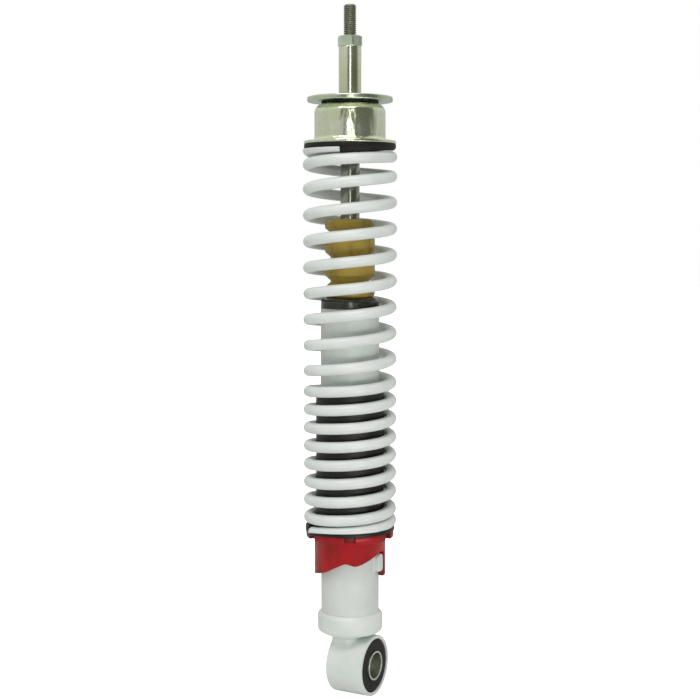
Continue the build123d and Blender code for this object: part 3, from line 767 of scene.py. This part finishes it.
# ---------------------------------------------------------------- threaded stud
# The rod's upper end: a rolled M8 x 1.25 thread, left dark and slightly oily. The frame's
# bracket and the jam nut sit on it.

stud_r = 4.0
pitch = 1.25
thread_depth = 0.62
outline_steps = 12
around = 40
points = []
rows = int((stud_top - shoulder) / pitch * outline_steps)
for row in range(rows + 1):
    for c in range(around):
        angle = 2 * pi * c / around
        height = shoulder + (stud_top - shoulder) * row / rows
        phase = (height / pitch - c / around) % 1.0
        ridge = 0.5 + 0.5 * cos(2 * pi * (phase - 0.5))
        r = stud_r - thread_depth * (1 - ridge)
        r = min(r, stud_r - 1.0 + (stud_top - height) * 1.1)
        points.append((r * cos(angle), r * sin(angle), height))
faces = [face[::-1] for face in strips(rows + 1, around, around=False)]
faces.append(tuple(range(rows * around, (rows + 1) * around)))
stud = solid("threaded_stud", points, faces, "rod_assembly", 50)
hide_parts("piston_rod")
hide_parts("piston_rod")
oiled = metal("oiled dark thread", (0.27, 0.275, 0.20), (0.18, 0.175, 0.13), 0.42, 0.15, 0.5, 0.00001)
paint(oiled, stud)

# ---------------------------------------------------------------- coil spring
# One length of 7 mm spring wire, wound close at the bottom and wide above, both ends closed
# and ground, then powder coated white. It is drawn as two joined lengths.

wire_r = 3.5
coil_r = 26.1
wire_high = heights("coil_spring")[1]
wire_end = 6535.1           # degrees of winding from tip to tip
wire_steps = 28             # points round the wire
rise = (
    (0, 87.9), (35, 89.6), (70, 91.0), (143, 93.2), (250, 94.9), (338.4, 95.75), (420, 98.1),
    (520, 101.3), (700, 107.1), (1074, 119.1), (1574, 135.2), (2074, 151.3), (2574, 167.4),
    (2900, 177.9), (3074, 183.6), (3200, 188.8), (3434, 199.1), (3934, 221.9), (4434, 244.6),
    (4934, 267.4), (5434, 290.2), (5800, 306.8), (6042, 317.2), (6160, 321.2), (6300, 324.6),
    (6420, 327.2), (6535.1, 329.4),
)
joint_turn = 1728.0


def wire_ring(along):
    """The points round the wire at one place along it, ground flat where the ends seat."""
    angle = radians(tip_angle + along)
    height = through(rise, along)
    slope = atan2(through(rise, along + 2) - through(rise, along - 2), radians(4) * coil_r)
    floor = through(pocket, along) if along < 130 else seat_face
    tip = min(along / 6.0, 1.0)
    size = wire_r * (0.55 + 0.45 * sqrt(1 - (1 - tip) ** 2))
    ring = []
    for step in range(wire_steps):
        turn_round = 2 * pi * step / wire_steps
        out = coil_r + size * cos(turn_round)
        lift = size * sin(turn_round)
        z = height + lift * cos(slope)
        back = -lift * sin(slope) / coil_r
        z = min(max(z, floor), wire_high)
        ring.append((out * cos(angle + back), out * sin(angle + back), z))
    return ring


def wire_length(name, start, end):
    """A length of the spring's wire between two places along it, in degrees of winding."""
    count = int((end - start) / 4)
    points = []
    for i in range(count + 1):
        points += wire_ring(start + (end - start) * i / count)
    last = count * wire_steps
    faces = strips(count + 1, wire_steps, around=False)
    faces += [tuple(reversed(range(wire_steps))), tuple(range(last, last + wire_steps))]
    piece = solid(name, points, faces, "damper_body", 45)
    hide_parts("coil_spring")
    return piece


lower_wire = wire_length("spring_wire_lower", 0.0, joint_turn)
upper_wire = wire_length("spring_wire_upper", joint_turn, wire_end)
up = Vector((0, 0, 1))
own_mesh(lower_wire)
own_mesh(upper_wire)
powder = sprayed("white powder coat", (0.73, 0.76, 0.735), (0.68, 0.71, 0.69), 0.34,
                 950.0, 0.00008, 0.12, 0.25, (0.55, 0.57, 0.55), 0.3)
paint(powder, lower_wire, upper_wire)

# ---------------------------------------------------------------- upper isolator ring
# A black rubber ring between the cup's flange and the spring's ground upper end; a ramp on
# its underside fills the gap over the wire's last turn.

isolator_low, isolator_high = heights("upper_isolator")
isolator_r = radius_of("upper_isolator")
isolator_bore = 22.5
points = []
turns = sorted([i * 1.5 for i in range(240)] + [0.01, 359.99])
for past in turns:
    angle = radians(tip_angle + wire_end + past)
    under = isolator_low
    if 0 < past < 300:
        over_wire = through(rise, wire_end - 360 + past) + wire_r + 0.5
        under = min(isolator_low, max(over_wire, isolator_low - 4.0))
    outline = [
        (isolator_bore, under + 0.3), (isolator_bore + 0.3, under), (isolator_r - 1.4, under),
        (isolator_r - 1.0, under + 0.3), (isolator_r - 0.5, isolator_low + 0.2),
        (isolator_r, isolator_low + 0.6), (isolator_r, isolator_high - 0.5),
        (isolator_r - 0.2, isolator_high - 0.15), (isolator_r - 0.5, isolator_high),
        (isolator_bore, isolator_high),
    ]
    points += [(r * cos(angle), r * sin(angle), h) for r, h in outline]
isolator = solid("spring_isolator_ring", points, strips(len(turns), len(outline)), "rod_assembly", 40)
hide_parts("upper_isolator")
paint(rubber, isolator)

# ---------------------------------------------------------------- spring cup
# A deep-drawn steel cup that holds the spring down: flat top, rounded shoulder, straight
# wall and a flared flange. Bright zinc plate with a faint yellow-green passivate.

cup_low, cup_high = heights("upper_cup")
cup_flange_r = radius_of("upper_cup")
cup_r = 22.25
cup_sheet = 2.0
stud_hole = 4.3             # radius of the hole for the stud, here and in the washers
cup = lathe("spring_cup_pressing", rounded([
    (stud_hole, cup_high - cup_sheet, 0),
    (cup_r - cup_sheet, cup_high - cup_sheet, 4.0),
    (cup_r - cup_sheet, cup_low, 0.8),
    (cup_flange_r, cup_low, 0.5),
    (cup_flange_r, cup_low + cup_sheet, 0.9),
    (cup_r, cup_low + cup_sheet, 2.6),
    (cup_r, cup_high, 6.0),
    (stud_hole, cup_high, 0),
], 10), "rod_assembly", 192)
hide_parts("upper_cup")

# Zinc plate: passivate tint in clouds, drawing ripples and hairline scratches.
plated, ends, out = new_group("zinc plate", [
    ("Place", "Vector", None),
    ("Tint", "Color", (0.6, 0.62, 0.46, 1)),
    ("Clear", "Color", (0.66, 0.67, 0.6, 1)),
    ("Ripple", "Float", 1.0),
], [("Colour", "Color"), ("Height", "Float"), ("Drift", "Float")])
place = ends.outputs["Place"]
clouds = remap(plated, noise(plated, place, 75.0, 4.0, 0.6), 0.38, 0.66)
bloom = remap(plated, noise(plated, place, 330.0, 4.0, 0.65), 0.55, 0.75)
ripples = noise(plated, stretched(plated, place, 1, 1, 0.35), 210.0, 2.0, 0.4)
hairs = noise(plated, stretched(plated, place, 40, 40, 900), 1.0, 2.0)
passivate = mix(plated, clouds, ends.outputs["Tint"], ends.outputs["Clear"])
rippled = calc(plated, "MULTIPLY", ripples, ends.outputs["Ripple"])
fill(plated, out.inputs["Colour"],
     mix(plated, calc(plated, "MULTIPLY", bloom, 0.45), passivate, (0.42, 0.42, 0.36)))
fill(plated, out.inputs["Height"],
     calc(plated, "ADD", rippled, calc(plated, "MULTIPLY", hairs, 0.02)))
fill(plated, out.inputs["Drift"], calc(plated, "ADD", calc(plated, "MULTIPLY", clouds, 0.05),
                                       calc(plated, "MULTIPLY", bloom, 0.12)))


def zinc(name, tint, clear, roughness, ripple, depth):
    """Zinc-plated steel."""
    made, tree, shader, place = new_material(name, Metallic=1.0)
    skin = use_group(tree, plated, Place=place, Tint=tint, Clear=clear, Ripple=ripple)
    fill(tree, shader.inputs["Base Color"], skin.outputs["Colour"])
    fill(tree, shader.inputs["Roughness"], calc(tree, "ADD", skin.outputs["Drift"], roughness))
    bumped(tree, shader, skin.outputs["Height"], depth)
    return made


drawn_zinc = zinc("drawn zinc plate", (0.74, 0.78, 0.56), (0.80, 0.83, 0.68), 0.20, 1.0, 0.0006)
paint(drawn_zinc, cup)

# ---------------------------------------------------------------- washers and disc
# The rod's shoulder washer inside the cup, a thin rubber cushion over the cup, and a blanked
# steel disc that carries the frame's bracket, zinc plated like the cup.

washer_low, washer_high = heights("shoulder_washer")
washer_r = radius_of("shoulder_washer")
washer = lathe("shoulder_washer_blank", rounded([
    (stud_hole, washer_low, 0.2),
    (washer_r, washer_low, 0.3),
    (washer_r, washer_high, 0.3),
    (stud_hole, washer_high, 0),
]), "rod_assembly", 96)
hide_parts("shoulder_washer")
cushion_low, cushion_high = heights("cushion_washer")
cushion_r = radius_of("cushion_washer")
cushion = lathe("cushion_washer_rubber", rounded([
    (stud_hole, cushion_low, 0),
    (cushion_r, cushion_low, 0.3),
    (cushion_r, cushion_high, 0.3),
    (stud_hole, cushion_high, 0),
]), "rod_assembly")
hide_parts("cushion_washer")
paint(rubber, cushion)
disc_low, disc_high = heights("top_disc")
disc_r = radius_of("top_disc")
disc = lathe("top_disc_blank", rounded([
    (stud_hole, disc_low, 0.2),
    (disc_r, disc_low, 0.5),
    (disc_r, disc_high, 0.9),
    (7.4, disc_high, 0.15),
    (7.2, disc_high - 0.5, 0),
    (stud_hole, disc_high - 0.5, 0),
], 6), "rod_assembly", 160)
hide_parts("top_disc")
bare_steel = metal("ground washer steel", (0.5, 0.5, 0.47), (0.33, 0.32, 0.27), 0.3, 0.8, 0.6, 0.00002)
flat_zinc = zinc("blanked zinc plate", (0.55, 0.64, 0.49), (0.66, 0.72, 0.58), 0.24, 0.6, 0.0003)
paint(bare_steel, washer)
paint(flat_zinc, disc)

# ---------------------------------------------------------------- spacer sleeve
# A cut length of plated tube on the stud, which the frame's rubbers slide over; it stands in
# the disc's shallow counterbore.

spacer_low, spacer_high = heights("spacer_sleeve")
spacer_r = radius_of("spacer_sleeve")
spacer_bore = 4.15
spacer = lathe("spacer_tube", rounded([
    (spacer_bore, spacer_low, 0),
    (spacer_r, spacer_low, 0.3),
    (spacer_r, spacer_high, 0.5),
    (spacer_bore, spacer_high, 0.3),
]), "rod_assembly", 96)
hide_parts("spacer_sleeve")
tube_zinc = zinc("tube zinc plate", (0.74, 0.78, 0.53), (0.78, 0.80, 0.63), 0.16, 0.35, 0.0001)
paint(tube_zinc, spacer)

# ---------------------------------------------------------------- jam nut
# A thin M8 hexagon nut with both faces chamfered, run down the stud against the spacer.

nut_low, nut_high = heights("jam_nut")
nut_flat = 7.0
nut_turn = 40.4
nut_corner = nut_flat / cos(pi / 6)
nut_bevel = 0.75
nut_bore, nut_mouth = 3.6, 4.2
points = []
columns = 120
for c in range(columns):
    angle = radians(nut_turn) + 2 * pi * c / columns
    off = (2 * pi * c / columns + pi / 6) % (pi / 3) - pi / 6
    hexagon = min(nut_flat / cos(off), nut_corner - 0.12)
    face_r = nut_flat - 0.15
    drop = max(0.0, hexagon - face_r) * nut_bevel
    outline = [
        (nut_bore, nut_low + 0.6), (nut_mouth, nut_low), (face_r, nut_low), (hexagon, nut_low + drop),
        (hexagon, (nut_low + nut_high) / 2), (hexagon, nut_high - drop), (face_r, nut_high),
        (nut_mouth, nut_high), (nut_bore, nut_high - 0.6),
    ]
    points += [(r * cos(angle), r * sin(angle), h) for r, h in outline]
nut = solid("jam_nut_hexagon", points, strips(columns, len(outline)), "rod_assembly", 25)
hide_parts("jam_nut")
nut_zinc = zinc("nut zinc plate", (0.60, 0.70, 0.54), (0.70, 0.78, 0.65), 0.22, 0.5, 0.0002)
paint(nut_zinc, nut)

# ---------------------------------------------------------------- inside the damper
# The pressure tube, valves, guide, seals and piston stay as the CAD drew them; each takes the
# finish of its material.

inside = {
    "plain_steel": metal("turned steel", (0.55, 0.55, 0.53), (0.38, 0.37, 0.32),
                         0.26, 1.0, 0.5, 0.00003),
    "dark_steel": metal("phosphated steel", (0.11, 0.11, 0.10), (0.06, 0.06, 0.05),
                        0.45, 0.6, 0.7, 0.00003),
    "chrome": chrome,
    "aluminium": metal("machined aluminium", (0.66, 0.66, 0.66), (0.50, 0.50, 0.49),
                       0.3, 1.2, 0.4, 0.00004),
    "bronze": metal("bearing bronze", (0.52, 0.34, 0.15), (0.33, 0.20, 0.09), 0.32, 1.0, 0.6, 0.00003),
    "black_rubber": rubber,
    "seal_rubber": moulding("seal rubber", (0.02, 0.018, 0.016), (0.07, 0.065, 0.055),
                            0.35, 0.42, 0.00003),
    "black_plastic": plastic,
    "band_plastic": moulding("piston band", (0.12, 0.085, 0.05), (0.20, 0.15, 0.10), 0.4, 0.5, 0.00003),
    "white_paint": enamel,
    "spring_coat": powder,
    "red_paint": red,
    "yellow_zinc": flat_zinc,
    "bump_foam": foam,
}
finish_of = {part["node"]: part["material_slot"] for part in frame["record"]["subparts"]}
for name, cad_node in frame["nodes"].items():
    paint(inside[finish_of[name]], cad_node)

# ---------------------------------------------------------------- floor, light and camera
# A plain pale floor just under the eye, a white surround with a dark card on one side for the
# metal to reflect, three soft lights, and the camera.

floor_mesh = bpy.data.meshes.new("floor")
half = 6.0
drop = -0.0196
floor_corners = [(x * half, y * half, drop) for x, y in ((-1, -1), (1, -1), (1, 1), (-1, 1))]
floor_mesh.from_pydata(floor_corners, [], [(0, 1, 2, 3)])
floor = bpy.data.objects.new("floor", floor_mesh)
bpy.context.scene.collection.objects.link(floor)
pale, tree, shader, place = new_material("pale floor", Roughness=0.9)
shader.inputs["Base Color"].default_value = (0.8, 0.8, 0.8, 1)
shader.inputs["Emission Color"].default_value = (1, 1, 1, 1)
seen = node(tree, "ShaderNodeLightPath")
fill(tree, shader.inputs["Emission Strength"], seen.outputs["Is Camera Ray"])
paint(pale, floor)

world = bpy.data.worlds.new("studio")
bpy.context.scene.world = world
world.use_nodes = True
sky = world.node_tree
azimuth = radians(28.4)
aim = node(sky, "ShaderNodeTexCoord").outputs["Generated"]
spun = node(sky, "ShaderNodeVectorRotate", rotation_type="Z_AXIS")
fill(sky, spun.inputs["Vector"], aim)
spun.inputs["Angle"].default_value = -azimuth
split_aim = node(sky, "ShaderNodeSeparateXYZ")
fill(sky, split_aim.inputs["Vector"], spun.outputs["Vector"])
right = calc(sky, "ARCTAN2", split_aim.outputs["X"], calc(sky, "MULTIPLY", split_aim.outputs["Y"], -1.0))
height = split_aim.outputs["Z"]
dark_left = remap(sky, right, radians(-38), radians(-12))
dark_right = remap(sky, right, radians(70), radians(100), 1.0, 0.0)
dark_card = calc(sky, "MULTIPLY", dark_left, dark_right)
room = mix(sky, remap(sky, height, -0.7, 0.8), (0.30, 0.31, 0.30), (0.76, 0.78, 0.75))
room = mix(sky, calc(sky, "MULTIPLY", dark_card, 0.86), room, (0.05, 0.055, 0.04))
backdrop = mix(sky, node(sky, "ShaderNodeLightPath").outputs["Is Camera Ray"], room, (1.0, 1.0, 1.0))
fill(sky, sky.nodes["Background"].inputs["Color"], backdrop)
sky.nodes["Background"].inputs["Strength"].default_value = 1.0


def softbox(name, place, size, power, target=(0, 0, 0.2)):
    """A rectangular soft light aimed at the part."""
    lamp = bpy.data.lights.new(name, "AREA")
    lamp.shape = "RECTANGLE"
    lamp.size, lamp.size_y = size
    lamp.energy = power
    made = bpy.data.objects.new(name, lamp)
    made.location = place
    made.rotation_euler = (Vector(target) - Vector(place)).to_track_quat("-Z", "Y").to_euler()
    bpy.context.scene.collection.objects.link(made)


strip = azimuth + radians(3)
softbox("strip light", (1.3 * sin(strip), -1.3 * cos(strip), 0.35), (0.16, 0.9), 1.7)
above = azimuth + radians(-12)
softbox("overhead soft box", (0.62 * sin(above), -0.62 * cos(above), 1.25), (0.9, 0.7), 7.0)
low = azimuth + radians(28)
softbox("low fill", (0.7 * sin(low), -0.7 * cos(low), 0.04), (0.5, 0.12), 1.25, (0, 0, 0.03))

camera_data = bpy.data.cameras.new("camera")
camera_data.lens = 68.0
camera_data.sensor_width = 36.0
camera = bpy.data.objects.new("camera", camera_data)
distance = 0.836
camera.location = (distance * sin(azimuth), -distance * cos(azimuth), 0.2786)
camera.rotation_euler = (radians(90 - 5.19), 0, azimuth)
bpy.context.scene.collection.objects.link(camera)
bpy.context.scene.camera = camera
bpy.context.scene.view_settings.view_transform = "Standard"
